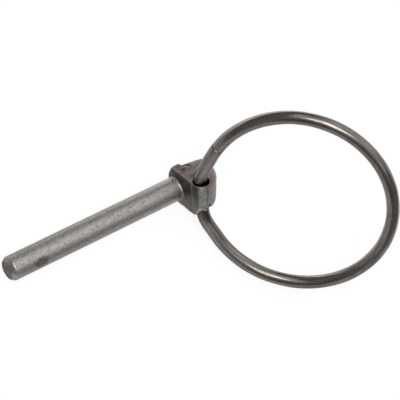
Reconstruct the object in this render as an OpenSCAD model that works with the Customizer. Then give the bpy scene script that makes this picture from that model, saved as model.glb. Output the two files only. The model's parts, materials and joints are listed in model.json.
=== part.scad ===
// Lynch pin: a steel pin with a blunt round head, and a wire ring through a hole in the head.
// The pin lies on its side with its shank along X and its tip towards -X. The origin is on the
// shank's axis, where its straight wall meets the fillet under the shoulder. The ring leans and
// touches the same level below.

/* [Shank] */
// Diameter of the shank, a quarter of an inch
shank_d = 6.35; // [5.5:0.05:7.5]
// Length from the shoulder to the end of the tip
shank_l = 51; // [30:0.5:80]
// Length of the cone turned on the tip
tip_l = 1; // [0.4:0.1:3]
// Amount that the cone takes off the radius at the end
tip_cut = 0.7; // [0.3:0.05:1.5]
// Radius of the fillet where the shank meets the shoulder
root_r = 0.6; // [0.2:0.1:1]

/* [Head] */
// Thickness of the head along the ring's hole
head_t = 9.5; // [8.5:0.1:12]
// Metal left between the ring's hole and the round side
round_wall = 0.3; // [0.25:0.05:1]
// Place of the round side's centre behind the shoulder
boss_back = 0.7; // [0.4:0.05:1.2]
// Sideways place of the round side's centre from the shank's axis
boss_side = 1.75; // [1.4:0.05:2.2]
// Distance of the head's middle above the shank's axis
head_up = 0.55; // [0:0.05:0.8]
// Turn of the head's flat faces about the shank, against the square of the hole
face_cant = 4; // [0:0.5:6]
// Radius of the round side's upper edge
edge_r = 1.1; // [0.5:0.1:1.4]
// Height over the lower face at which the round side starts to draw in
draft_h = 5.8; // [4:0.1:7]
// Amount that the round side has drawn in at the top of the skirt
draft_cut = 0.3; // [0.2:0.05:0.8]
// Height of the skirt, the bevel on the round side's lower edge
skirt_h = 1.8; // [1:0.1:3]
// Amount that the skirt draws in further
skirt_cut = 1.5; // [0.5:0.1:2]

/* [Corner beside the hole] */
// Metal left between the ring's hole and the corner flat
side_wall = 0.35; // [0.3:0.05:1]
// Slant of the corner flat, between the shoulder and the round side
corner_turn = 26; // [20:1:34]
// Sideways distance at which the shoulder starts to fall back
nose_side = 7; // [6:0.1:8]
// Slant of the shoulder's outer part
nose_slant = 6; // [0:0.5:8]
// Width of the lower face, from the shank's axis to the chin under the corner flat
chin_side = 7.6; // [6.6:0.1:8]
// Slope of the chin
chin_slope = 20; // [16:1:28]
// Turn of the chin round to the front
chin_turn = 40; // [30:1:50]

/* [Ear] */
// Length of the ear that carries the shoulder out beside the shank
ear_l = 2.9; // [2.2:0.1:4]
// Step from the ear's side in to the flat back of the head
ear_step = 1.7; // [0.6:0.1:2]
// Slant of the flat back, closing in behind the ear
back_slant = 10; // [0:1:16]
// Amount that the ear's upper corner is cut off
ear_bevel = 0.8; // [0.3:0.1:1.2]

/* [Hole for the ring] */
// Slack of the wire in the hole, on the diameter
slack = 0.8; // [0.76:0.02:1.2]
// Metal left between the hole and the shoulder
front_wall = 0.5; // [0.4:0.05:1.2]
// Sideways distance of the hole's axis from the shank's axis
hole_side = 7.8; // [7.6:0.05:8]
// Width of the bevel at each mouth of the hole
mouth = 0.15; // [0.05:0.05:0.25]

/* [Ring] */
// Diameter of the ring's wire
wire_d = 3.4; // [2.8:0.05:3.8]
// Diameter of the ring at the middle of its wire
ring_d = 48.2; // [42:0.2:56]
// Angle from the hole at which the ring's round part ends and its straight legs start
leg_turn = 30; // [26:1:36]
// Amount that the straight part in the hole stands out past the ring's circle
stand_out = 0.31; // [0.25:0.01:0.4]
// Radius of the bend beside each face of the head
bend_r = 10; // [9:0.5:11]
// Distance of the wire's middle outside the hole's axis
seat = 0.3; // [0.2:0.02:0.3]
// Gap between the butted ends of the wire
seam_gap = 0.2; // [0.1:0.05:0.6]
// Place of the butted ends round the ring, from the hole
seam_turn = 37; // [36:1:170]
// Angle of the ring from the line of the shank as it lies
swing = 48.7; // [35:0.1:60]
// Sideways lean of the slack wire in its hole
lean = 3; // [0:0.25:3]

/* [Hidden] */

$fn = 96;
far = 2 * (shank_l + ring_d);     // longer than any cut has to be
hair = 0.01;                      // amount that the ring's straight pieces stand proud
hair_l = 0.05;                    // length that they run into the bends

shank_r = shank_d / 2;
wire_r = wire_d / 2;
ring_r = ring_d / 2;
half_t = head_t / 2;
hole_r = wire_r + slack / 2;
hole_back = hole_r + front_wall;
ear_side = shank_r - 0.1;         // the ear stops just inside the shank's own side
boss_r = norm([hole_back - boss_back, hole_side - boss_side]) + hole_r + round_wall;

// The legs leave the round part as tangents and meet the straight part at a corner, which the
// bend rounds. Places are from the ring's centre: first towards the hole, then along it.
bar_out = ring_r + stand_out;
corner = (ring_r - bar_out * cos(leg_turn)) / sin(leg_turn);
bend_cut = bend_r * tan(leg_turn / 2);
bar_half = corner - bend_cut;
leg_l = norm([bar_out - ring_r * cos(leg_turn), corner - ring_r * sin(leg_turn)]) - bend_cut;
ring_reach = bar_out - seat;

// Roll of the whole pin at which the shank and the ring both touch the level that carries them.
// Height of the ring's lowest point over that level, when the pin is rolled back by angle r.
function ring_height(r) =
    let (slope = sin(lean) * sin(r) + cos(lean) * cos(swing) * cos(r))
    shank_r + hole_side * cos(r) + ring_reach * sin(swing) * cos(r)
        - ring_r * sqrt(1 - slope * slope) - wire_r;
// Halve the range until the height is nought.
function find_roll(low, high, n = 30) =
    let (mid = (low + high) / 2)
    n == 0 ? mid
        : ring_height(mid) > 0 ? find_roll(mid, high, n - 1) : find_roll(low, mid, n - 1);
roll = find_roll(5, 85);

// The pin is drawn with X behind the shoulder, Y to the hole's side and Z along the hole.
// This lays it down as it rests.
module lay() translate([root_r, 0, 0]) rotate([90 + roll, 0, 0]) children();

// Half space under Y = 0, to cut with.
module below() translate([-far, -far, -far]) cube([2 * far, far, 2 * far]);

// Half of the round side's outline, to be turned round its own axis. Z = 0 is the middle.
module boss_outline() {
    polygon(concat(
        [[0, -half_t]],
        [for (a = [0:7.5:90])
            [boss_r - edge_r + edge_r * sin(a), edge_r - half_t - edge_r * cos(a)]],
        [[boss_r, half_t - draft_h],
         [boss_r - draft_cut, half_t - skirt_h],
         [boss_r - draft_cut - skirt_cut, half_t],
         [0, half_t]]));
}

// Round part of the head, cut flat at the shoulder, at its back, at the corner and at the chin.
module boss() {
    difference() {
        translate([boss_back, boss_side, 0]) rotate_extrude() boss_outline();
        rotate([0, 0, -90]) below();
        translate([0, nose_side, 0]) rotate([0, 0, -90 - nose_slant]) below();
        translate([ear_l, ear_step - ear_side, 0]) rotate([0, 0, back_slant]) below();
        translate([hole_back, hole_side, 0]) rotate([0, 0, corner_turn])
            translate([0, hole_r + side_wall, 0]) mirror([0, 1, 0]) below();
        translate([0, chin_side, half_t]) rotate([0, 0, chin_turn]) rotate([chin_slope, 0, 0])
            mirror([0, 1, 0]) below();
    }
}

// Ear beside the shank, which the shoulder runs out to.
module ear() {
    difference() {
        translate([0, -ear_side, -half_t]) cube([ear_l, ear_side + boss_side, head_t]);
        translate([0, -ear_side, -half_t + ear_bevel]) rotate([35, 0, 0]) below();
    }
}

// Turned shank with its coned tip. A narrower neck, all inside the head and fillet, roots it.
module shank() {
    rotate([0, -90, 0]) rotate_extrude() polygon(
        [[0, -ear_l / 2], [shank_r / 2, -ear_l / 2], [shank_r / 2, root_r],
         [shank_r, root_r], [shank_r, shank_l - tip_l],
         [shank_r - tip_cut, shank_l], [0, shank_l]]);
}

// Fillet under the shoulder, held within the ear's side.
module root() {
    difference() {
        rotate([0, -90, 0]) rotate_extrude() polygon(concat(
            [[shank_r / 4, -ear_l / 2], [shank_r + root_r, -ear_l / 2]],
            [for (a = [0:15:90]) [shank_r + root_r - root_r * sin(a), root_r - root_r * cos(a)]],
            [[shank_r - hair, root_r + hair_l], [shank_r / 4, root_r + hair_l]]));
        translate([0, -ear_side, 0]) below();
    }
}

// Hole for the ring, bevelled where it opens on the two canted faces.
module ring_hole() {
    mid = hole_side * tan(face_cant) - head_up / cos(face_cant);
    mouth_out = half_t / cos(face_cant) + mouth;
    cylinder(r = hole_r, h = 2 * head_t, center = true);
    for (side = [0, 1]) translate([0, 0, mid]) mirror([0, 0, side])
        translate([0, 0, mouth_out - 2 * mouth])
            cylinder(r1 = hole_r, r2 = hole_r + 2 * mouth, h = 2 * mouth);
}

module pin() {
    color("darkgray") lay() difference() {
        union() {
            difference() {
                union() {
                    rotate([face_cant, 0, 0]) translate([0, 0, -head_up]) {
                        boss();
                        ear();
                    }
                    root();
                }
                // Back corner, dressed flush with the side that the shank lies on.
                rotate([-roll, 0, 0]) translate([0, -shank_r, 0]) below();
            }
            shank();
        }
        translate([hole_back, hole_side, 0]) ring_hole();
    }
}

// Piece of the ring's round wire, bent to a radius from one angle to another.
module bent(radius, from, turn) rotate([0, 0, from]) rotate_extrude(angle = turn)
    translate([radius, 0]) circle(r = wire_r);

// Straight piece of wire along Y. It is a hair fatter than the bends and runs a hair into them,
// so that they join as one piece.
module straight(length) translate([0, -hair_l, 0]) rotate([-90, 0, 0])
    cylinder(r = wire_r + hair, h = length + 2 * hair_l);

// The ring in its own plane: X towards the hole, Y along it.
module wire() {
    difference() {
        union() {
            bent(ring_r, leg_turn, 360 - 2 * leg_turn);
            rotate([0, 0, leg_turn]) translate([ring_r, -leg_l, 0]) straight(leg_l);
            rotate([0, 0, -leg_turn]) translate([ring_r, 0, 0]) straight(leg_l);
            translate([bar_out - bend_r, bar_half, 0]) bent(bend_r, 0, leg_turn);
            translate([bar_out - bend_r, -bar_half, 0]) bent(bend_r, -leg_turn, leg_turn);
            translate([bar_out, -bar_half, 0]) straight(2 * bar_half);
        }
        rotate([0, 0, seam_turn]) translate([ring_r - wire_d, -seam_gap / 2, -wire_d])
            cube([2 * wire_d, seam_gap, 2 * wire_d]);
    }
}

module ring() {
    color("dimgray") lay() translate([hole_back, hole_side, 0]) rotate([0, 0, swing])
        rotate([-lean, 0, 0]) translate([ring_reach, 0, 0]) rotate([90, 0, 180]) mirror([0, 1, 0])
            wire();
}

pin();
ring();
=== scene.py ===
# %% [markdown]
# # A lynch pin and its ring
# A lynch pin is a short steel pin with a blunt head, and a wire ring through the head to pull it by.
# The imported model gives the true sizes. This script gives the two pieces their worn edges, their
# grain and their colours, and sets up the light and the camera.

# %% Load the frame
import json
import math

import bmesh
import bpy
import numpy as np
from mathutils import Matrix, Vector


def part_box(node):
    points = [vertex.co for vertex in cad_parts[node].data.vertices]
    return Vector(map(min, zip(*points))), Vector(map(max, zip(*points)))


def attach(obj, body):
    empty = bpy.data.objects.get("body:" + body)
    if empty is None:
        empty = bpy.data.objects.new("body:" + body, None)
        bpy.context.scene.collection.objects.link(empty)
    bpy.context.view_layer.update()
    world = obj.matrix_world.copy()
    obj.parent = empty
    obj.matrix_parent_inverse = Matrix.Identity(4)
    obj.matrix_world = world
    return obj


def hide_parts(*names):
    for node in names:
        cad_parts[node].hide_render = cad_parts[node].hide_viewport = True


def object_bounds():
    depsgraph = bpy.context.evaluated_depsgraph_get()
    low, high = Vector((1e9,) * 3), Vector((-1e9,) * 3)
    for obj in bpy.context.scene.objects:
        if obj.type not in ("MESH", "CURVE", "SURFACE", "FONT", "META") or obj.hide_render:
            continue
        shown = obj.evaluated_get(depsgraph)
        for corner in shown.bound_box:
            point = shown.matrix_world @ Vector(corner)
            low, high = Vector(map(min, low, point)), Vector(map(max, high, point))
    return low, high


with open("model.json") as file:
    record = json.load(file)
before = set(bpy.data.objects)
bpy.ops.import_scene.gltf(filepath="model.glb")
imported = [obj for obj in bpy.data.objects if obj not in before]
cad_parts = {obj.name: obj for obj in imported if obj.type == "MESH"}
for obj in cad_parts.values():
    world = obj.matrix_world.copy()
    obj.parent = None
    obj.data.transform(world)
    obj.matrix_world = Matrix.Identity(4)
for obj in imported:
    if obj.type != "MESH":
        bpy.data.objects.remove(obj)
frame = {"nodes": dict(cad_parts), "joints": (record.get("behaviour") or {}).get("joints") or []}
cad_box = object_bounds()
MM = 0.001
rng = np.random.default_rng(7)
print("CAD box", [list(corner) for corner in cad_box])

# %% [markdown]
# ## The head's own axes
# The pin lies rolled over on its side, so its faces aren't square to the frame. Everything on the
# head is easier to place in three directions of its own: `back` from the tip to the head, `side`
# from the shank towards the ring's hole, and `deep` along the hole. They could be typed in as
# numbers, but the ring's hinge runs along the hole and gives all three exactly.

# %% The head's axes from the hinge
hinge = frame["joints"][0]
DEEP = np.array(hinge["axis"], float)
DEEP /= np.linalg.norm(DEEP)
BACK = np.array([1.0, 0.0, 0.0])
SIDE = np.cross(DEEP, BACK)
HOLE = np.array(hinge["pos_m"], float)
SHOULDER = np.array([0.6 * MM, 0.0, 0.0])


def on_head(co):
    """Frame points turned into head places: metres behind the shoulder, to the side, and deep."""
    rel = co - SHOULDER
    return rel @ BACK, rel @ SIDE, rel @ DEEP


hole_back, hole_side = on_head(HOLE)[:2]
print("hole is", round(hole_back / MM, 2), "mm back and", round(hole_side / MM, 2), "mm aside")

# %% [markdown]
# The head is canted a little about the shank, so its two flat faces aren't quite square to the
# hole. Depths under the ear's side and under the upper face are measured square to those faces.

# %% Depth under the head's flat faces
FACE_CANT = math.radians(4)
TOP_DEEP = -5.30 * MM
EAR_SIDE = 3.075 * MM
CANT_SIDE = SIDE * math.cos(FACE_CANT) + DEEP * math.sin(FACE_CANT)
CANT_DEEP = DEEP * math.cos(FACE_CANT) - SIDE * math.sin(FACE_CANT)


def on_faces(co):
    """Depth of frame points under the ear's side and under the upper face."""
    rel = co - SHOULDER
    return rel @ CANT_SIDE + EAR_SIDE, rel @ CANT_DEEP - TOP_DEEP


print("hole's middle is", round(float(on_faces(HOLE)[1]) / MM, 2), "mm under the upper face")

# %% [markdown]
# ## Irregular surfaces
# Forged and handled steel is never quite flat. Noise from a texture would need a map to lie on. A
# few sine waves, crossing in directions picked at random, add up to a smooth unevenness that has
# no seam anywhere and is the same on every run. Two small curves go with them: one fades a change
# in, and one makes a round spot.

# %% Waves, steps and spots


def waves(co, size, count=14):
    """Sum of plane waves, each sin(k . x + phase), with wavelengths from size to half of it."""
    directions = rng.normal(size=(count, 3))
    directions /= np.linalg.norm(directions, axis=1)[:, None]
    k = directions * (2 * math.pi / size) * rng.uniform(1.0, 2.0, (count, 1))
    phase = rng.uniform(0, 2 * math.pi, count)
    return np.sin(co @ k.T + phase).sum(axis=1) / math.sqrt(count / 2)


def soft_step(x, edge, width):
    """Smooth rise from 0 to 1 as x passes from edge - width to edge + width: 3 t^2 - 2 t^3."""
    t = np.clip((x - edge + width) / (2 * width), 0, 1)
    return t * t * (3 - 2 * t)


def spot(distance, radius):
    """Bell curve: 1 at distance 0, falling to about a third at the radius."""
    return np.exp(-((distance / radius) ** 2))


print("a step is", float(soft_step(0.0, 0.0, 1.0)), "at its edge, a spot", round(float(spot(1, 1)), 2),
      "at its radius")

# %% [markdown]
# ## A mesh as arrays
# Blender hands over all of a mesh's points in one call, and takes them back in one call. In
# between they are numpy arrays, so a change to every point is one line of arithmetic.

# %% Read and write a mesh as arrays


def points_of(mesh):
    """The mesh's points and their normals, as two arrays of shape (n, 3)."""
    co = np.empty(len(mesh.vertices) * 3, np.float32)
    no = np.empty(len(mesh.vertices) * 3, np.float32)
    mesh.vertices.foreach_get("co", co)
    mesh.vertices.foreach_get("normal", no)
    return co.reshape(-1, 3).astype(float), no.reshape(-1, 3).astype(float)


def place_points(mesh, co):
    """Puts the mesh's points at new places."""
    mesh.vertices.foreach_set("co", co.astype(np.float32).ravel())
    mesh.update()


def store(mesh, name, values):
    """Keeps one number for each point, from 0 to 1, under a name that a material can read."""
    layer = mesh.attributes.new(name, "FLOAT", "POINT")
    layer.data.foreach_set("value", np.clip(values, 0, 1).astype(np.float32))


print("the CAD pin has", len(frame["nodes"]["pin"].data.vertices), "points")

# %% [markdown]
# ## The wall of the ring's hole
# Beside the ring's hole the head's wall thins to almost nothing at its lower end, which is less
# than the even mesh of the next step can hold: it would tear there. So the hole is narrowed before
# that step and widened again after it.

# %% How far the hole is narrowed
HOLE_R = 2.1 * MM
HEAD_T = 9.5 * MM
NARROWED = 0.36 * MM
STAYS_NARROW = 0.02 * MM


def round_hole(co):
    """Distance of points from the hole's axis, and the directions straight away from it."""
    rel = co - HOLE
    away = rel - np.outer(rel @ DEEP, DEEP)
    distance = np.linalg.norm(away, axis=1)
    return distance, away / distance[:, None]


def narrowing(co):
    """How much the hole is narrowed: nothing at the upper face, and evenly more with the depth."""
    return NARROWED * np.clip(on_faces(co)[1] / HEAD_T, 0, 1)


print("hole is narrowed from", HOLE_R / MM, "to", round((HOLE_R - NARROWED) / MM, 2), "mm in radius")

# %% [markdown]
# ## Rounding the forging
# The pin is one forging, so its shank and head have to stay one skin, with the ring's hole
# through it. A grid can't cover a block with a hole in it, and a bevel on the CAD triangles would
# cross itself at the thin wall. So a copy of the CAD solid is covered with a fine even mesh, which
# Blender calls a voxel remesh, and smoothed: that wears every sharp corner down to a small radius.

# %% Copy the solid with an even mesh
VOXEL = 0.16 * MM
SMOOTHING = 9
SAME_POINT = 0.001 * MM
ON_HOLE = 0.03 * MM


def joined_copy(node):
    """Copy of a CAD node's mesh with its loose triangles joined at their corners."""
    mesh = frame["nodes"][node].data.copy()
    bm = bmesh.new()
    bm.from_mesh(mesh)
    bmesh.ops.remove_doubles(bm, verts=bm.verts, dist=SAME_POINT)
    bm.to_mesh(mesh)
    bm.free()
    mesh.materials.clear()
    return mesh


def even_copy(mesh, name):
    """New piece: the mesh covered with even squares and smoothed."""
    raw = bpy.data.objects.new(name + "_raw", mesh)
    bpy.context.scene.collection.objects.link(raw)
    remesh = raw.modifiers.new("even", "REMESH")
    remesh.mode = "VOXEL"
    remesh.voxel_size = VOXEL
    smooth = raw.modifiers.new("worn", "SMOOTH")
    smooth.factor = 0.5
    smooth.iterations = SMOOTHING
    depsgraph = bpy.context.evaluated_depsgraph_get()
    even = bpy.data.meshes.new_from_object(raw.evaluated_get(depsgraph))
    even.name = name
    bpy.data.objects.remove(raw)
    piece = bpy.data.objects.new(name, even)
    bpy.context.scene.collection.objects.link(piece)
    return piece


solid = joined_copy("pin")
co = points_of(solid)[0]
distance, away = round_hole(co)
on_hole = np.abs(distance - HOLE_R) < ON_HOLE
place_points(solid, co - away * (on_hole * narrowing(co))[:, None])
forging = even_copy(solid, "forging")
print("narrowed at", int(on_hole.sum()), "points; the forging has", len(forging.data.vertices))

# %% [markdown]
# Widening moves only the points that lie inside the hole's true radius, straight out. Each keeps a
# small share of its distance to that radius, so no point passes another and the thin wall stays
# whole. The share is set so that what is left of the narrowing is the same all the way down.

# %% Widen the hole again
co = points_of(forging.data)[0]
distance, away = round_hole(co)
inside = np.clip(HOLE_R - distance, 0, None)
kept_share = STAYS_NARROW / np.maximum(narrowing(co), STAYS_NARROW)
place_points(forging.data, co + away * (inside * (1 - kept_share))[:, None])
print("hole was", round(float(distance.min()) / MM, 2), "mm in radius at its narrow end")

# %% [markdown]
# ## Where each part of the forging is
# Wear and colour follow the parts of the pin, so each point is told whether it is on the shank or
# in the hole's bore. That is done on the square corners, before they are rounded.

# %% Shank and bore
BORE_EDGE = 2.4 * MM
co, no = points_of(forging.data)
back, side = on_head(co)[:2]
beside_ear, below_top = on_faces(co)
from_axis = np.hypot(co[:, 1], co[:, 2])
on_shank = 1 - soft_step(back, -0.35 * MM, 0.25 * MM)
on_the_head = 1 - on_shank
from_hole = np.hypot(back - hole_back, side - hole_side)
to_hole = -((no @ BACK) * (back - hole_back) + (no @ SIDE) * (side - hole_side)) / from_hole
in_bore = (1 - soft_step(from_hole, BORE_EDGE, 0.3 * MM)) * soft_step(to_hole, 0.1, 0.3) * on_the_head
print(int((on_shank > 0.5).sum()), "points on the shank,", int((in_bore > 0.5).sum()), "in the bore")

# %% [markdown]
# The corners round the shoulder are worn much rounder than the rest, most of all beside the ear.
# More smoothing would shrink the whole head. A ball rolled along inside the shoulder, the upper
# face and the ear's side leaves the same round on every corner and the faces as they are, so
# points outside the ball are brought in to its surface. Sideways the ball is drawn out into an
# egg, because the ear is rounder there, and low on the ear the rounding fades out.

# %% Round the shoulder's corners
CORNER_R = 1.15 * MM
EAR_CORNER_R = 2.3 * MM
EGG = EAR_CORNER_R / CORNER_R
FADE_AT = 2.2 * MM
FADE_WIDTH = 1.3 * MM


def roll_ball(gaps, radius):
    """Pulls points into a ball that touches several flat faces. With g the depth under a face and
    h = radius - g, a point whose h values have a length over the radius is scaled back to it."""
    h = np.clip(radius - gaps, 0, radius)
    length = np.linalg.norm(h, axis=1, keepdims=True)
    return np.where(length > radius, h * (1 - radius / np.maximum(length, radius)), 0)


fade = soft_step(below_top, FADE_AT, FADE_WIDTH)
beside = np.maximum(beside_ear, 0) / EGG * (1 - fade) + CORNER_R * fade
gaps = np.stack([np.maximum(back, 0), beside, below_top], axis=1)
behind_shoulder = soft_step(back, -0.10 * MM, 0.05 * MM)
pull = roll_ball(gaps, CORNER_R) * behind_shoulder[:, None]
pulled = co + pull[:, :1] * BACK + pull[:, 1:2] * EGG * CANT_SIDE + pull[:, 2:] * CANT_DEEP
place_points(forging.data, pulled)
print("furthest pull", round(float(np.linalg.norm(pull, axis=1).max()) / MM, 2), "mm")

# %% [markdown]
# The points have moved and their normals have turned, so both are read again. How far a normal
# leans up, towards the tip or to the side tells which face a point is on.

# %% Which way each point faces
co, no = points_of(forging.data)
back, side = on_head(co)[:2]
below_top = on_faces(co)[1]
facing_up, facing_tip, facing_side = -(no @ DEEP), -(no @ BACK), no @ SIDE
print(int((facing_up > 0.9).sum()), "points face up,", int((facing_tip > 0.9).sum()), "face the tip")

# %% [markdown]
# ## Marks pressed into the head
# The dent is where something struck the upper face, and the groove is a fold left by the die,
# just ahead of the rounded back edge. They could be bump in the material, but their shadows show
# from every side, so both are pressed into the mesh with bell curves.

# %% The dent and the groove
DENT = (2.2 * MM, 1.0 * MM)
DENT_R = 0.42 * MM
DENT_DEPTH = 0.30 * MM
GROOVE_FROM = np.array([3.7, -0.6]) * MM
GROOVE_TO = np.array([4.6, 0.9]) * MM
GROOVE_R = 0.24 * MM
GROOVE_DEPTH = 0.20 * MM
MARKS_REACH = 2.0 * MM


def distance_to_line(x, y, start, end):
    """Distance in the plane from each point to the straight stretch between two places."""
    along = end - start
    t = np.clip(((x - start[0]) * along[0] + (y - start[1]) * along[1]) / (along @ along), 0, 1)
    return np.hypot(x - start[0] - t * along[0], y - start[1] - t * along[1])


face_up = soft_step(facing_up, 0.45, 0.3)
upper = on_the_head * face_up * (1 - soft_step(below_top, MARKS_REACH, 1.0 * MM))
dent = upper * spot(np.hypot(back - DENT[0], side - DENT[1]), DENT_R)
groove = upper * spot(distance_to_line(back, side, GROOVE_FROM, GROOVE_TO), GROOVE_R)
print("dent and groove cover", int((dent > 0.5).sum()), "and", int((groove > 0.5).sum()), "points")

# %% [markdown]
# The head is uneven from the hammer and the shank nearly true from grinding, so each gets waves of
# its own height. The bore and the thin wall beside it stay smooth, because the wire swings there.
# Last, every point is kept inside the box of the CAD solid.

# %% Press the marks in and make the surface uneven
FORGED_HIGH = 0.030 * MM
FORGED_FINE = 0.012 * MM
FORGED_IN = 0.02 * MM
TURNED_HIGH = 0.004 * MM
LENGTHWISE = [1.0, 0.4, 0.4]
THIN_WALL_R = 2.8 * MM
THIN_WALL_FROM = 2.5 * MM

forged = FORGED_HIGH * waves(co, 3.4 * MM) + FORGED_FINE * waves(co, 1.1 * MM)
turned = TURNED_HIGH * waves(co * LENGTHWISE, 1.6 * MM)
thin_wall = 1 - soft_step(from_hole, THIN_WALL_R, 0.4 * MM)
thin_wall = thin_wall * soft_step(below_top, THIN_WALL_FROM, 1.0 * MM)
push = on_shank * turned + on_the_head * (1 - in_bore) * (1 - thin_wall) * (forged - FORGED_IN)
push = push - DENT_DEPTH * dent - GROOVE_DEPTH * groove
low, high = (np.array(corner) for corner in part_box("pin"))
co = np.clip(co + no * push[:, None], low, high)
place_points(forging.data, co)
print("deepest press", round(float(push.min()) / MM, 2), "mm")

# %% [markdown]
# ## Tones of the forging
# The finish changes over the pin: a ground shank, a brown scale on the upper face and a cleaner
# band along the back edge. Light and shade are painted in as well: shade on the shoulder, darkest
# where it meets the shank, and highlights, sheen and a floor reflection on edges and flats. Painting
# them by hand would need a flat map of the head. Here each is a mask from 0 to 1, worked out from
# the place and the slope of the surface. The scale covers the upper face as far as the band, and
# lies thinner on the low part of the shoulder.

# %% Masks for the scale and the band
BAND_FROM = 5.0 * MM
BAND_SLANT = 0.35
BAND_SLANT_AT = 2.0 * MM
BAND_SOFT = 0.9 * MM
LOW_SHOULDER = 5.0 * MM
LOW_SOFT = 2.0 * MM
FLAT_FROM = 7.0 * MM

band_line = BAND_FROM + BAND_SLANT * (side - BAND_SLANT_AT)
band = soft_step(back, band_line, BAND_SOFT) * soft_step(facing_up, 0.1, 0.3)
shoulder = on_the_head * soft_step(facing_tip, 0.6, 0.25)
low_shoulder = shoulder * soft_step(below_top, LOW_SHOULDER, LOW_SOFT) * (side < FLAT_FROM)
brown = on_the_head * face_up * (1 - band) + 0.55 * low_shoulder
print("scale covers", int((brown > 0.5).sum()), "points, the band", int((band > 0.5).sum()))

# %% [markdown]
# Shade is painted onto the shoulder face that looks towards the tip: thickest high on the
# shoulder, thinner lower down, and lifted by a painted highlight along a narrow upright strip
# beside the ring's hole.

# %% Mask for the painted shade on the shoulder
SHADE_LOW = 0.16
SHADE_HIGH = 0.62
SHADE_DOWN_TO = 5.2 * MM
SHADE_SOFT = 2.6 * MM
STRIP_SIDE = 7.0 * MM
STRIP_HALF = 0.35 * MM
STRIP_LIGHT = 0.6

high_up = 1 - soft_step(below_top, SHADE_DOWN_TO, SHADE_SOFT)
strip = spot(side - STRIP_SIDE, STRIP_HALF)
# Painted shade: the shoulder face towards the tip is darkened, most high up by the shank; the strip is
# a painted highlight
shoulder_shade = shoulder * (SHADE_LOW + SHADE_HIGH * high_up) * (1 - STRIP_LIGHT * strip)
print("thickest oxide", round(float(shoulder_shade.max()), 2))

# %% [markdown]
# The shank has marks of its own near the tip: a round stain on its side, a stain on the rim of the
# end, and a painted highlight on that rim. The sawn end face is darker than the ground sides.
# Each mark is a bell curve of the distance from its middle.

# %% Masks for the shank
TIP = np.array([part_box("pin")[0].x, 0.0, 0.0])
STAIN_AT = TIP + np.array([8.1, -2.1, 2.36]) * MM
STAIN_R = 0.9 * MM
STAIN_LENGTHWISE = [0.75, 1.0, 1.0]
RIM_STAIN_AT = TIP + np.array([0.25, -0.1, 2.75]) * MM
RIM_STAIN_R = 0.75 * MM
RIM_STAIN_ROUND = [1.0, 0.7, 1.0]
RIM_HIGHLIGHT_AT = TIP + np.array([0.5, -2.5, 1.6]) * MM
RIM_HIGHLIGHT_R = 0.95 * MM
END_DEPTH = 0.5 * MM

from_stain = np.linalg.norm((co - STAIN_AT) * STAIN_LENGTHWISE, axis=1)
stain = np.clip(spot(from_stain - STAIN_R, 0.5 * MM) + 0.5 * spot(from_stain, 1.0 * MM), 0, 1)
rim_stain = spot(np.linalg.norm((co - RIM_STAIN_AT) * RIM_STAIN_ROUND, axis=1), RIM_STAIN_R)
# Painted highlight: a bright patch on the rim of the tip
rim_highlight = on_shank * spot(np.linalg.norm(co - RIM_HIGHLIGHT_AT, axis=1), RIM_HIGHLIGHT_R)
end_face = on_shank * soft_step(facing_tip, 0.85, 0.12) * (co[:, 0] < TIP[0] + END_DEPTH)
print("stains cover", int((on_shank * (stain + rim_stain) > 0.5).sum()), "points of the shank")

# %% [markdown]
# Highlights are painted bright into the colour: along the upright edge where the shoulder turns
# into the round side, and on the upper side of the fillet where the shank meets the shoulder. Just
# past that edge the slanting flat of the round side gets a painted sheen, and its underside a
# painted reflection of the floor. The upper face's front corner gets a pale painted highlight over
# its scale. The edges are found by the way their points face, as an angle in degrees.

# %% Masks for the painted highlights, sheen and reflection
EDGE_TURN = 38
EDGE_SPREAD = 13
FLAT_TURN = 64
FLAT_SPREAD = 14
CORNER_TURN = 32
CORNER_SPREAD = 20
EDGE_FROM = 5.0 * MM
SHEEN_FROM = 6.5 * MM
FILLET_BACK = -0.25 * MM
FILLET_R = 3.30 * MM

turn_round = np.degrees(np.arctan2(facing_side, facing_tip))
turn_up = np.degrees(np.arctan2(facing_tip, facing_up))
upright = np.sqrt(np.clip(1 - np.abs(facing_up), 0, 1))
# Painted highlights: the upright edge, and the upward-facing top of the fillet
edge = on_the_head * (1 - in_bore) * spot(turn_round - EDGE_TURN, EDGE_SPREAD) * upright
fillet_highlight = spot(back - FILLET_BACK, 0.22 * MM) * spot(from_axis - FILLET_R, 0.30 * MM)
painted_highlight = edge * soft_step(side, EDGE_FROM, 0.5 * MM) + fillet_highlight * soft_step(no[:, 2], 0.5, 0.4)
# Painted highlight along the rounded front edge of the upper face
front_sheen = on_the_head * spot(turn_up - CORNER_TURN, CORNER_SPREAD) * (np.abs(facing_side) < 0.5)
front_sheen = front_sheen * (1 - soft_step(back, 1.3 * MM, 0.6 * MM))
# Painted reflection of the floor on the underside; with the slanting flat it makes a painted sheen
floor_reflection = soft_step(-facing_up, 0.25, 0.1) * soft_step(facing_side, 0.4, 0.2)
painted_sheen = np.clip(spot(turn_round - FLAT_TURN, FLAT_SPREAD) + 0.8 * floor_reflection, 0, 1)
painted_sheen = painted_sheen * on_the_head * (1 - in_bore) * soft_step(side, SHEEN_FROM, 0.5 * MM)
print("rubbed bright at", int((painted_highlight > 0.5).sum()), "points, pale at", int((painted_sheen > 0.5).sum()))

# %% [markdown]
# Shade is painted nearly black into the upper part of the bore, the dent and the groove. With that
# the masks are complete, and they are stored on the points for the material to read.

# %% Mask for the painted shade in the hollows, and all masks stored
RECESS_SHADE_DOWN_TO = 5.0 * MM
RECESS_SHADE_SOFT = 2.0 * MM
GROOVE_SHADE = 0.8

in_dark = soft_step(below_top, 0.2 * MM, 0.3 * MM) * (1 - soft_step(below_top, RECESS_SHADE_DOWN_TO, RECESS_SHADE_SOFT))
bore_wall = in_bore * (1 - soft_step(facing_up, 0.5, 0.4))
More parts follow.
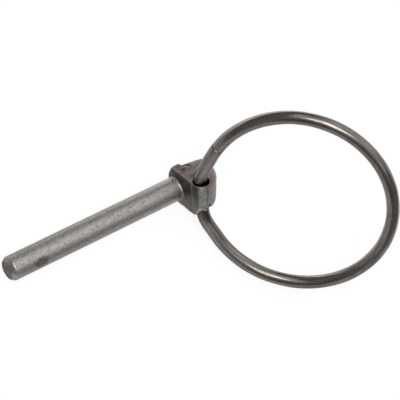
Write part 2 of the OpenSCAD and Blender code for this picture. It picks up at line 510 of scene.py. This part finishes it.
# Painted shade in the bore's upper part, the dent and the groove
recess_shade = bore_wall * in_dark + dent + GROOVE_SHADE * groove
masks = {
    "shank": on_shank,
    "brown": brown,
    "band": band * on_the_head,
    "shoulder_shade": shoulder_shade,
    "stain": on_shank * (stain + 1.2 * rim_stain),
    "end_face": end_face * (1 - rim_highlight),
    "painted_sheen": painted_sheen,
    "front_sheen": front_sheen,
    "recess_shade": recess_shade,
    "painted_highlight": np.clip(painted_highlight, 0, 1) + rim_highlight,
}
for name, values in masks.items():
    store(forging.data, name, values)
print(len(masks), "masks stored on", len(co), "points")

# %% [markdown]
# ## The ring's wire
# The ring is one length of round wire. Its line runs from one butted end, round the circle, down
# a short straight leg, through a bend into the straight part inside the hole, and back the same
# way to the other end. A curve object could follow points set by hand. Each stretch is a straight
# line or an arc, though, so a place on the wire is a formula of the distance along it.

# %% The stretches of the wire
WIRE_R = 1.7 * MM
RING_R = 24.1 * MM
LEG_TURN = math.radians(30)
STAND_OUT = 0.31 * MM
BEND_R = 10 * MM
SEAM_TURN = math.radians(37)
SEAM_GAP = 0.2 * MM

BAR_OUT = RING_R + STAND_OUT
CORNER = (RING_R - BAR_OUT * math.cos(LEG_TURN)) / math.sin(LEG_TURN)
BEND_REACH = BEND_R * math.tan(LEG_TURN / 2)
BAR_HALF = CORNER - BEND_REACH
LEG_OUT = BAR_OUT - RING_R * math.cos(LEG_TURN)
LEG = math.hypot(LEG_OUT, CORNER - RING_R * math.sin(LEG_TURN)) - BEND_REACH
HALF_SEAM = SEAM_GAP / 2 / RING_R

# Each stretch is its length and its radius. A radius of 0 means straight.
stretches = [
    ((2 * math.pi - LEG_TURN - SEAM_TURN - HALF_SEAM) * RING_R, RING_R),
    (LEG, 0),
    (LEG_TURN * BEND_R, BEND_R),
    (2 * BAR_HALF, 0),
    (LEG_TURN * BEND_R, BEND_R),
    (LEG, 0),
    ((SEAM_TURN - LEG_TURN - HALF_SEAM) * RING_R, RING_R),
]
wire_length = sum(length for length, radius in stretches)
print("wire is", round(wire_length / MM, 1), "mm long")

# %% [markdown]
# The next function walks along the stretches and gives a place and a heading at every step. The
# walk turns left all the way, and it has to end where it began, less the gap between the ends.

# %% Places and headings along the wire
STEP = 0.28 * MM


def run_wire(start, heading):
    """Points and headings every step along the stretches, turning left: an arc adds length / radius
    to the heading, and its chord is 2 r sin(turn / 2) at half the turn."""
    points, headings = [], []
    for length, radius in stretches:
        s = np.linspace(0, length, max(2, int(length / STEP)), endpoint=False)
        turn = s / radius if radius else s * 0
        chord = 2 * radius * np.sin(turn / 2) if radius else s
        aim = heading + turn / 2
        points.append(start + np.stack([chord * np.cos(aim), chord * np.sin(aim)], axis=1))
        headings.append(heading + turn)
        full = length / radius if radius else 0
        reach = 2 * radius * math.sin(full / 2) if radius else length
        start = start + reach * np.array([math.cos(heading + full / 2), math.sin(heading + full / 2)])
        heading += full
    points.append(start[None, :])
    headings.append(np.array([heading]))
    return np.concatenate(points), np.concatenate(headings)


first = SEAM_TURN + HALF_SEAM
line, heading = run_wire(RING_R * np.array([math.cos(first), math.sin(first)]), first + math.pi / 2)
distance = np.concatenate([[0], np.cumsum(np.linalg.norm(np.diff(line, axis=0), axis=1))])
to_end = np.minimum(distance, distance[-1] - distance)
gap = np.linalg.norm(line[-1] - line[0])
print("ends stand", round(gap / MM, 2), "mm apart, with", len(line), "places between them")

# %% [markdown]
# ## The skin of the wire
# A circle carried along the line makes the wire's skin. The ends were closed by hand: they touch
# on the outside of the ring, gape a little inside, and don't quite line up. So the two end circles
# lean towards each other on the outside, their rims are broken, and one end stands off a little.

# %% Carry a circle along the wire
ROUND = 44
END_BREAK = 0.02 * MM
SEAM_STEP = 0.05 * MM
SEAM_STEP_REACH = 2.5 * MM
CLOSED_REACH = 0.8 * MM


def wire_skin():
    """Points on a grid of places along by angles round. At angle a a point stands off the line by
    r cos(a) outwards and r sin(a) sideways, and r shrinks by a quarter circle at the two ends."""
    around = np.linspace(0, 2 * math.pi, ROUND, endpoint=False)
    outwards = np.stack([np.sin(heading), -np.cos(heading)], axis=1)
    short = np.clip(END_BREAK - to_end, 0, None)
    broken = END_BREAK - np.sqrt(END_BREAK ** 2 - short ** 2)
    radius = (WIRE_R - broken)[:, None] * np.ones(ROUND)
    flat = np.stack([line[:, :1] + outwards[:, :1] * radius * np.cos(around),
                     line[:, 1:] + outwards[:, 1:] * radius * np.cos(around),
                     radius * np.sin(around)], axis=2)
    forward = np.stack([np.cos(heading), np.sin(heading), 0 * heading], axis=1)
    way = np.where(distance < distance[-1] / 2, -1, 1) * spot(to_end, CLOSED_REACH) * SEAM_GAP / 2
    meeting = soft_step(np.cos(around), -0.6, 0.5)
    flat = flat + (way[:, None] * meeting)[..., None] * forward[:, None, :]
    step = -SEAM_STEP * spot(distance, SEAM_STEP_REACH)
    flat[..., :2] += (step[:, None] * outwards)[:, None, :]
    return flat, around


flat, around = wire_skin()
print("skin is", flat.shape[0], "rows of", flat.shape[1], "points")

# %% [markdown]
# So far the ring lies flat in its own plane. The real one is held by the straight part of its wire
# in the hole, leans a little and has swung up. Turning the object would slide the patterns of its
# material, so the points themselves are turned into the frame.

# %% Hang the ring in its hole
SEAT = 0.3 * MM
SWING = math.radians(48.7)
LEAN = math.radians(3)


def in_frame(flat):
    """From the ring's own plane (towards the hole, along it, square to both) to the frame: the
    ring hangs from its seat, leans on its wire and swings about the hole."""
    x = BAR_OUT - SEAT - flat[..., 0]
    y = flat[..., 2]
    z = -flat[..., 1]
    leaned_y = y * math.cos(LEAN) + z * math.sin(LEAN)
    leaned_z = z * math.cos(LEAN) - y * math.sin(LEAN)
    swung_x = x * math.cos(SWING) - leaned_y * math.sin(SWING)
    swung_y = x * math.sin(SWING) + leaned_y * math.cos(SWING)
    return HOLE + swung_x[..., None] * BACK + swung_y[..., None] * SIDE + leaned_z[..., None] * DEEP


skin = in_frame(flat)
centre = skin.mean(axis=1, keepdims=True)
print("ring reaches from", skin.min(axis=(0, 1)).round(4).tolist(), "to",
      skin.max(axis=(0, 1)).round(4).tolist())

# %% [markdown]
# Hand-bent wire isn't perfectly round, so its skin gets long low waves and finer ones. They could be
# bump alone, but then its outline and its highlights would stay too true. The whole skin comes in a
# little, to stay inside the solid's box, and near the hole it is almost even, to swing freely.

# %% Make the wire uneven
UNEVEN_HIGH = 0.010 * MM
PITTED_HIGH = 0.0012 * MM
SKIN_IN = 0.015 * MM
NEAR_HOLE_R = 9 * MM

outward = skin - centre
outward /= np.linalg.norm(outward, axis=2, keepdims=True)
uneven = UNEVEN_HIGH * waves(skin.reshape(-1, 3), 9 * MM).reshape(skin.shape[:2])
pitted = PITTED_HIGH * waves(skin.reshape(-1, 3), 1.3 * MM).reshape(skin.shape[:2])
from_middle = np.linalg.norm(centre - HOLE, axis=2)
near_hole = spot(from_middle, NEAR_HOLE_R)
skin = skin + outward * ((uneven + pitted - SKIN_IN) * (1 - 0.8 * near_hole))[..., None]
print("wire is uneven by", round(float(np.ptp(uneven + pitted)) / MM, 3), "mm")

# %% [markdown]
# ## The ring's mesh
# The rows of points become a closed tube: a belt of four-sided faces between each row and the
# next, and a fan of triangles over each end, round a point in its middle. A curve object with a
# bevel would do for plain wire, but its ends couldn't be shaped to meet like this.

# %% Faces of a closed tube


def tube_faces(n_rows, n_cols):
    """Face (i, j) joins points j and j + 1 of row i to the same two of row i + 1, and after the last
    point of a row comes its first. The middles of the two ends are the last two points of all."""
    i, j = np.meshgrid(np.arange(n_rows - 1), np.arange(n_cols), indexing="ij")
    k = (j + 1) % n_cols
    quads = np.stack([i * n_cols + j, i * n_cols + k, (i + 1) * n_cols + k, (i + 1) * n_cols + j], -1)
    j = np.arange(n_cols)
    k = (j + 1) % n_cols
    last = (n_rows - 1) * n_cols
    hub = n_rows * n_cols
    start_fan = np.stack([k, j, np.full(n_cols, hub)], -1)
    end_fan = np.stack([last + j, last + k, np.full(n_cols, hub + 1)], -1)
    return quads.reshape(-1, 4), np.concatenate([start_fan, end_fan])


quads, fans = tube_faces(*skin.shape[:2])
print("tube has", len(quads), "four-sided faces and", len(fans), "triangles")

# %% [markdown]
# A UV map tells the material how far along the wire and how far round it each corner of a face is,
# so that the marks of drawing can follow the bends. Where a belt closes, the angle jumps from a
# full turn back to 0, which would squeeze the whole pattern into one face, so it is carried on.

# %% Map of the places along and round


def map_tube(mesh, u_all, v_all, quad_corners):
    """UV map from a u and a v for each point. In a four-sided face that closes the round, the
    corners that started again from 0 get one full turn more."""
    corner_verts = np.empty(len(mesh.loops), np.int32)
    mesh.loops.foreach_get("vertex_index", corner_verts)
    pairs = np.stack([u_all[corner_verts], v_all[corner_verts]], axis=1)
    faces = pairs[:quad_corners].reshape(-1, 4, 2)
    started_again = faces[:, :, 1] < faces[:, :, 1].max(axis=1, keepdims=True) - math.pi
    faces[:, :, 1] += started_again * 2 * math.pi
    uv = mesh.uv_layers.new(name="along")
    uv.data.foreach_set("uv", pairs.astype(np.float32).ravel())
    print("map has", len(pairs), "corners, of which", int(started_again.sum()), "were carried on")


along_mm = distance / MM
ring_points = np.concatenate([skin.reshape(-1, 3), skin[0].mean(0)[None], skin[-1].mean(0)[None]])
ring_mesh = bpy.data.meshes.new("wire_ring")
ring_mesh.from_pydata(ring_points.tolist(), [], quads.tolist() + fans.tolist())
map_tube(ring_mesh, np.append(np.repeat(along_mm, ROUND), [along_mm[0], along_mm[-1]]),
         np.append(np.tile(around, len(distance)), [0, 0]), quads.size)

# %% [markdown]
# The mesh gets its object, and its faces are turned to point outwards all round.

# %% Make the ring
wire_ring = bpy.data.objects.new("wire_ring", ring_mesh)
bpy.context.scene.collection.objects.link(wire_ring)
bm = bmesh.new()
bm.from_mesh(ring_mesh)
bmesh.ops.recalc_face_normals(bm, faces=bm.faces)
bm.to_mesh(ring_mesh)
bm.free()
print("ring has", len(ring_mesh.polygons), "faces")

# %% [markdown]
# Where the wire turns in the hole, the hole's shade is painted dark onto it, and all of the wire
# near the head is painted a little darker. Along one side near the head runs a painted highlight, a
# brighter line. The cut faces inside the seam are dark too. All three are masks on its points, as on
# the forging.

# %% Masks for the wire
HIGHLIGHT_AT = math.radians(100)
HIGHLIGHT_WIDTH = 0.36
NEAR_HEAD_REACH = 15 * MM
NEAR_HEAD_DARK = 0.45
HOLE_SHADE_REACH = 3.4 * MM
SEAM_REACH = 0.4 * MM

gaping = 1 - soft_step(np.cos(around), -0.6, 0.4)
seam = spot(to_end, SEAM_REACH)[:, None] * gaping
above_mouth = -TOP_DEEP - np.abs(on_head(skin)[2])
# Painted shade: dark where the wire turns in the hole, and a little darker near the head
hole_shade = near_hole * soft_step(above_mouth, -HOLE_SHADE_REACH / 2, HOLE_SHADE_REACH / 2)
near_head = spot(from_middle, NEAR_HEAD_REACH)
# Painted highlight: a bright line along one side of the wire near the head
wire_highlight = near_head * spot(around - HIGHLIGHT_AT, HIGHLIGHT_WIDTH) * (1 - hole_shade)
wire_shade = np.maximum(hole_shade, NEAR_HEAD_DARK * near_head)
for name, values, at_ends in (("seam", seam, 1), ("painted_highlight", wire_highlight, 0), ("wire_shade", wire_shade, 0)):
    store(ring_mesh, name, np.append(values.ravel(), [at_ends, at_ends]))
print("painted_shade covers", int((hole_shade > 0.5).sum()), "points of the wire")

# %% [markdown]
# ## Two pieces on two bodies
# Each piece rides on the body that moves with it and stands for the CAD solid of the same part.
# Smooth shading hides the facets of both.

# %% Put the pieces on their bodies
for piece in (forging, wire_ring):
    piece.data.polygons.foreach_set("use_smooth", np.ones(len(piece.data.polygons), bool))
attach(forging, "pin")
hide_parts("pin")
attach(wire_ring, "ring")
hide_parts("ring")
print("the forging rides on pin, and the wire ring on ring")

# %% [markdown]
# ## Materials
# A material is a small web of nodes. A few helpers keep the node code short: one adds a node, one
# links a value or sets it, one reads a stored mask, one mixes two colours, one spreads a range of
# values over another, one adds a bump, and one makes noise at a size given in millimetres.

# %% Helpers for materials


class Nodes:
    """Short calls for building one material's nodes."""

    def __init__(self, name):
        self.material = bpy.data.materials.new(name)
        self.material.use_nodes = True
        self.tree = self.material.node_tree
        self.shader = self.tree.nodes["Principled BSDF"]
        self.place = self.add("ShaderNodeTexCoord").outputs["Object"]

    def add(self, kind, **settings):
        node = self.tree.nodes.new(kind)
        for key, value in settings.items():
            setattr(node, key, value)
        return node

    def link(self, value, socket):
        if isinstance(value, bpy.types.NodeSocket):
            self.tree.links.new(value, socket)
        else:
            socket.default_value = value

    def mask(self, name):
        return self.add("ShaderNodeAttribute", attribute_name=name).outputs["Fac"]

    def noise(self, size_mm, detail, stretch=(1, 1, 1), source=None, unit=MM):
        mapping = self.add("ShaderNodeMapping")
        self.link(source or self.place, mapping.inputs["Vector"])
        mapping.inputs["Scale"].default_value = stretch
        node = self.add("ShaderNodeTexNoise")
        self.link(mapping.outputs["Vector"], node.inputs["Vector"])
        node.inputs["Scale"].default_value = 1 / (size_mm * unit)
        node.inputs["Detail"].default_value = detail
        return node.outputs["Fac"]

    def maths(self, operation, a, b):
        node = self.add("ShaderNodeMath", operation=operation)
        self.link(a, node.inputs[0])
        self.link(b, node.inputs[1])
        return node.outputs[0]

    def times(self, a, b):
        return self.maths("MULTIPLY", a, b)

    def ramp(self, value, low, high, out_low=0.0, out_high=1.0):
        node = self.add("ShaderNodeMapRange")
        for key, number in (("Value", value), ("From Min", low), ("From Max", high),
                            ("To Min", out_low), ("To Max", out_high)):
            self.link(number, node.inputs[key])
        return node.outputs[0]

    def mix(self, factor, a, b):
        node = self.add("ShaderNodeMix", data_type="RGBA")
        self.link(factor, node.inputs[0])
        self.link(a, node.inputs[6])
        self.link(b, node.inputs[7])
        return node.outputs[2]

    def bump(self, height, distance_mm, strength, below=None):
        node = self.add("ShaderNodeBump")
        node.inputs["Strength"].default_value = strength
        node.inputs["Distance"].default_value = distance_mm * MM
        self.link(height, node.inputs["Height"])
        if below is not None:
            self.link(below, node.inputs["Normal"])
        return node.outputs["Normal"]


print("node helpers ready")

# %% [markdown]
# ## The forging's steel
# The forging is bare steel, so it is fully metallic and its colours are what the metal reflects.
# The shank is ground, with fine scratches round it and small dark specks where rust has started.
# The head keeps a brown scale above, and painted shade at the shoulder.

# %% Colours of the forging
SHANK_GREY = (0.68, 0.655, 0.615, 1)
SHANK_DULL = (0.50, 0.48, 0.45, 1)
HEAD_GREY = (0.20, 0.20, 0.19, 1)
HEAD_PALE = (0.34, 0.34, 0.325, 1)
BAND_GREY = (0.33, 0.335, 0.325, 1)
SCALE_BROWN = (0.37, 0.29, 0.275, 1)
SCALE_DARK = (0.21, 0.165, 0.155, 1)
# Colour of the painted highlight on the upper face's front edge
SHEEN_PINK = (0.60, 0.50, 0.48, 1)
# Near-black colour of the painted shade on the shoulder
SHOULDER_SHADE = (0.050, 0.045, 0.040, 1)
# Near-black colour of the painted shade in the hollows
RECESS_SHADE = (0.015, 0.010, 0.009, 1)
SPECK = (0.07, 0.06, 0.05, 1)
# Colour of the painted sheen and floor reflection
SHEEN_GREY = (0.72, 0.72, 0.69, 1)
# Colour of the painted highlights on the forging
EDGE_HIGHLIGHT = (0.75, 0.735, 0.70, 1)
print("ground steel reflects", SHANK_GREY[:3], "and oxide", SHOULDER_SHADE[:3])

# %% [markdown]
# The colours go on in layers, and each layer's mask says where: scale and band over the head's grey
# first, then the shank, then stains and specks, and last the painted shade on the shoulder, the
# painted highlights and the painted shade in the hollows. One material for each finish would leave
# a hard line between them. Scratches and grain are bumps, because they are far too fine for the mesh.

# %% Forged steel


def forging_colour(n, grain, mottle, broad):
    """Colour of the forging: layers laid over each other, each through its own mask."""
    head = n.mix(n.ramp(mottle, 0.38, 0.62), HEAD_GREY, HEAD_PALE)
    scale = n.mix(n.ramp(broad, 0.4, 0.62), SCALE_BROWN, SCALE_DARK)
    shank = n.mix(n.ramp(grain, 0.40, 0.60), SHANK_GREY, SHANK_DULL)
    specks = n.ramp(grain, 0.56, 0.70)
    layers = [
        (n.mask("brown"), scale),
        (n.mask("band"), BAND_GREY),
        # painted sheen on the slanting flat, and painted floor reflection underneath
        (n.times(n.mask("painted_sheen"), n.ramp(mottle, 0.38, 0.6, 0.6, 1.0)), SHEEN_GREY),
        (n.mask("shank"), shank),
        # painted highlight on the front edge
        (n.times(n.mask("front_sheen"), 0.75), SHEEN_PINK),
        (n.times(n.mask("stain"), n.ramp(grain, 0.40, 0.56, 0.45, 0.95)), SCALE_DARK),
        (n.times(n.mask("end_face"), n.ramp(mottle, 0.35, 0.6, 0.88, 0.50)), SPECK),
        (n.times(specks, 0.55), SPECK),
        # painted shade on the shoulder
        (n.mask("shoulder_shade"), SHOULDER_SHADE),
        # painted highlights on the edge, the fillet and the tip's rim
        (n.times(n.mask("painted_highlight"), 0.7), EDGE_HIGHLIGHT),
        # painted shade in the hollows
        (n.mask("recess_shade"), RECESS_SHADE),
    ]
    colour = head
    for factor, layer in layers:
        colour = n.mix(factor, colour, layer)
    return colour


def forged_steel():
    """Bare metal: layered colour, a roughness that varies with the mottle, and two fine bumps."""
    n = Nodes("forged_steel")
    grain = n.noise(0.30, 4)
    mottle = n.noise(1.1, 5)
    broad = n.noise(5.0, 2)
    scratches = n.noise(0.22, 2, stretch=(1, 0.25, 0.25))
    n.link(forging_colour(n, grain, mottle, broad), n.shader.inputs["Base Color"])
    n.shader.inputs["Metallic"].default_value = 1.0
    rough = n.maths("ADD", n.ramp(mottle, 0.3, 0.7, 0.36, 0.52), n.times(n.mask("brown"), 0.10))
    n.link(rough, n.shader.inputs["Roughness"])
    scratched = n.bump(scratches, 0.010, 0.8)
    n.link(n.bump(grain, 0.045, 0.8, scratched), n.shader.inputs["Normal"])
    return n.material


forging.data.materials.append(forged_steel())
print("forged steel has", len(forging.data.materials[0].node_tree.nodes), "nodes")

# %% [markdown]
# ## The ring's steel
# The wire is harder and darker. Drawing it through a die left faint lines along it. A pattern on
# the frame's directions would cross the bends, so its noise reads the map that runs along the wire,
# stretched a long way in that direction. The painted highlight line is brighter and rougher than
# the rest.

# %% Drawn wire
WIRE_DARK = (0.22, 0.20, 0.186, 1)
WIRE_PALE = (0.39, 0.365, 0.34, 1)
WIRE_BROWN = (0.26, 0.20, 0.17, 1)
# Colour of the painted highlight line on the wire
WIRE_HIGHLIGHT = (0.95, 0.87, 0.84, 1)
# Colour of the painted shade on the wire at the hole
SHADED_WIRE = (0.060, 0.035, 0.032, 1)


def drawn_wire():
    """Bare metal: colour streaked along the wire, with brown patches, specks and masks over it."""
    n = Nodes("drawn_wire")
    along = n.add("ShaderNodeUVMap", uv_map="along").outputs["UV"]
    drawn = n.noise(1.0, 3, stretch=(0.10, 2.4, 1), source=along, unit=1)
    mottle = n.noise(2.2, 3)
    grain = n.noise(0.4, 3)
    colour = n.mix(n.ramp(drawn, 0.35, 0.65), WIRE_DARK, WIRE_PALE)
    layers = [
        (n.ramp(mottle, 0.5, 0.75, 0, 0.7), WIRE_BROWN),
        (n.times(n.ramp(grain, 0.6, 0.72), 0.6), SPECK),
        # painted shade at the hole
        (n.times(n.mask("wire_shade"), 0.85), SHADED_WIRE),
        # painted highlight line
        (n.times(n.mask("painted_highlight"), 0.9), WIRE_HIGHLIGHT),
        (n.mask("seam"), SPECK),
    ]
    for factor, layer in layers:
        colour = n.mix(factor, colour, layer)
    n.link(colour, n.shader.inputs["Base Color"])
    n.shader.inputs["Metallic"].default_value = 1.0
    rough = n.maths("ADD", n.ramp(mottle, 0.3, 0.7, 0.14, 0.24), n.times(n.mask("painted_highlight"), 0.30))
    n.link(rough, n.shader.inputs["Roughness"])
    drawn_lines = n.bump(drawn, 0.008, 0.5)
    n.link(n.bump(grain, 0.006, 0.5, drawn_lines), n.shader.inputs["Normal"])
    return n.material


wire_ring.data.materials.append(drawn_wire())
print("drawn wire has", len(wire_ring.data.materials[0].node_tree.nodes), "nodes")

# %% [markdown]
# ## Floor
# The floor isn't part of the object. It is a plain grey sheet, lifted to white only for the
# camera's own rays, so it still takes the soft shadow and throws no extra light on the steel. Metal
# shows what lies round it, so the floor also glows in reflections: dimly near the camera, and
# fully on the far side.

# %% Make the floor
FLOOR_HALF = 1.5
FLOOR_GREY = (0.25, 0.25, 0.25, 1)
FLOOR_LIFT = 0.86
FLOOR_NEAR = 0.30
FLOOR_FAR = 1.0
FLOOR_FAR_WAY = (0.80, 0.60, 0.0)
FLOOR_DIM_TO = -0.025
FLOOR_FULL_FROM = 0.05


def pale_floor():
    """Dull grey, with light added by kind of ray: a fixed lift for the camera's, and for mirrored
    rays a level that rises with the distance along the far way."""
    n = Nodes("pale_floor")
    n.shader.inputs["Roughness"].default_value = 0.9
    n.shader.inputs["Specular IOR Level"].default_value = 0.0
    n.shader.inputs["Base Color"].default_value = FLOOR_GREY
    n.shader.inputs["Emission Color"].default_value = (1, 1, 1, 1)
    path = n.add("ShaderNodeLightPath")
    mirrored = n.maths("MAXIMUM", path.outputs["Is Glossy Ray"], path.outputs["Is Transmission Ray"])
    away = n.add("ShaderNodeVectorMath", operation="DOT_PRODUCT")
    n.link(n.place, away.inputs[0])
    n.link(FLOOR_FAR_WAY, away.inputs[1])
    level = n.ramp(away.outputs["Value"], FLOOR_DIM_TO, FLOOR_FULL_FROM, FLOOR_NEAR, FLOOR_FAR)
    seen = n.maths("ADD", n.times(path.outputs["Is Camera Ray"], FLOOR_LIFT), n.times(mirrored, level))
    n.link(seen, n.shader.inputs["Emission Strength"])
    return n.material


floor_z = cad_box[0][2]
ends = (-FLOOR_HALF, FLOOR_HALF)
corners = [(ends[0], ends[0], floor_z), (ends[1], ends[0], floor_z),
           (ends[1], ends[1], floor_z), (ends[0], ends[1], floor_z)]
floor_mesh = bpy.data.meshes.new("floor")
floor_mesh.from_pydata(corners, [], [(0, 1, 2, 3)])
floor_mesh.materials.append(pale_floor())
floor = bpy.data.objects.new("floor", floor_mesh)
bpy.context.scene.collection.objects.link(floor)
print("floor lies at", round(floor_z / MM, 3), "mm")

# %% [markdown]
# ## Camera
# The camera looks down on the pin from beyond its tip, through a long lens that keeps the ring
# round. Three angles say where it stands and how it is rolled, and the aim is a place beside the
# middle of the CAD box.

# %% Set up the camera
VIEW_AZIMUTH = math.radians(-173.993)
VIEW_HEIGHT = math.radians(62.514)
VIEW_ROLL = math.radians(56.998)
VIEW_DISTANCE = 486.83 * MM
AIM_OFFSET = np.array([1.391, 11.026, 1.320]) * MM
LENS = 180
FILM = 36
NEAREST = 0.01

towards = np.array([math.cos(VIEW_HEIGHT) * math.cos(VIEW_AZIMUTH),
                    math.cos(VIEW_HEIGHT) * math.sin(VIEW_AZIMUTH),
                    math.sin(VIEW_HEIGHT)])
level = np.cross([0.0, 0.0, 1.0], towards)
level /= np.linalg.norm(level)
upright_way = np.cross(towards, level)
right = math.cos(VIEW_ROLL) * level + math.sin(VIEW_ROLL) * upright_way
up = math.cos(VIEW_ROLL) * upright_way - math.sin(VIEW_ROLL) * level
middle = np.array([list(corner) for corner in cad_box]).mean(axis=0)
aim = middle + AIM_OFFSET


def stand_at(obj, x_axis, y_axis, z_axis, place):
    """Turns an object so that its own axes point these ways, and puts it at a place."""
    matrix = np.eye(4)
    matrix[:3, 0], matrix[:3, 1], matrix[:3, 2], matrix[:3, 3] = x_axis, y_axis, z_axis, place
    obj.matrix_world = Matrix(matrix.tolist())


camera_data = bpy.data.cameras.new("camera")
camera_data.lens = LENS
camera_data.sensor_width = FILM
camera_data.clip_start = NEAREST
camera = bpy.data.objects.new("camera", camera_data)
bpy.context.scene.collection.objects.link(camera)
stand_at(camera, right, up, towards, aim + VIEW_DISTANCE * towards)
bpy.context.scene.camera = camera
print("camera stands at", np.round(aim + VIEW_DISTANCE * towards, 4).tolist())

# %% [markdown]
# ## Lamps
# Bare steel shows what is round it more than its own colour, so the light is what draws it. A key
# lamp above the tip's side lays the bright line along the shank and the wire, a wide weak panel
# overhead lifts the upper faces, and a low fill behind the head keeps its far side from going black.

# %% Set up the lamps
LAMP_DISTANCE = 0.6


def soft_lamp(name, direction, size, brightness):
    """Rectangular lamp that faces the object from a direction. A lamp of area a that looks as
    bright as its brightness, where 1 is white paper, gives off pi a times that, in watts."""
    facing = np.array(direction, float)
    facing /= np.linalg.norm(facing)
    across = np.cross([0.0, 0.0, 1.0], facing)
    across /= np.linalg.norm(across)
    data = bpy.data.lights.new(name, "AREA")
    data.shape = "RECTANGLE"
    data.size, data.size_y = size
    data.energy = math.pi * size[0] * size[1] * brightness
    lamp = bpy.data.objects.new(name, data)
    bpy.context.scene.collection.objects.link(lamp)
    stand_at(lamp, across, np.cross(facing, across), facing, middle + LAMP_DISTANCE * facing)
    print(name, "gives off", round(data.energy, 3), "W")


soft_lamp("key", (-0.31, 0.00, 0.95), (0.34, 0.28), 2.8)
soft_lamp("overhead", (0.02, 0.02, 1.00), (1.10, 1.10), 0.45)
soft_lamp("fill", (0.87, 0.15, 0.47), (0.90, 0.50), 0.40)

# %% [markdown]
# ## Surround
# Everything the lamps and the floor don't fill is a dark grey surround. It gives the wire and the
# shank the dark bands between their bright lines, which is what makes them look round.

# %% Set up the surround
WORLD_GREY = (0.18, 0.18, 0.18, 1)
world = bpy.data.worlds.new("surround")
world.use_nodes = True
background = world.node_tree.nodes["Background"]
background.inputs["Color"].default_value = WORLD_GREY
background.inputs["Strength"].default_value = 1.0
bpy.context.scene.world = world
bpy.context.scene.view_settings.view_transform = "Standard"
print("surround is", WORLD_GREY[0], "grey")
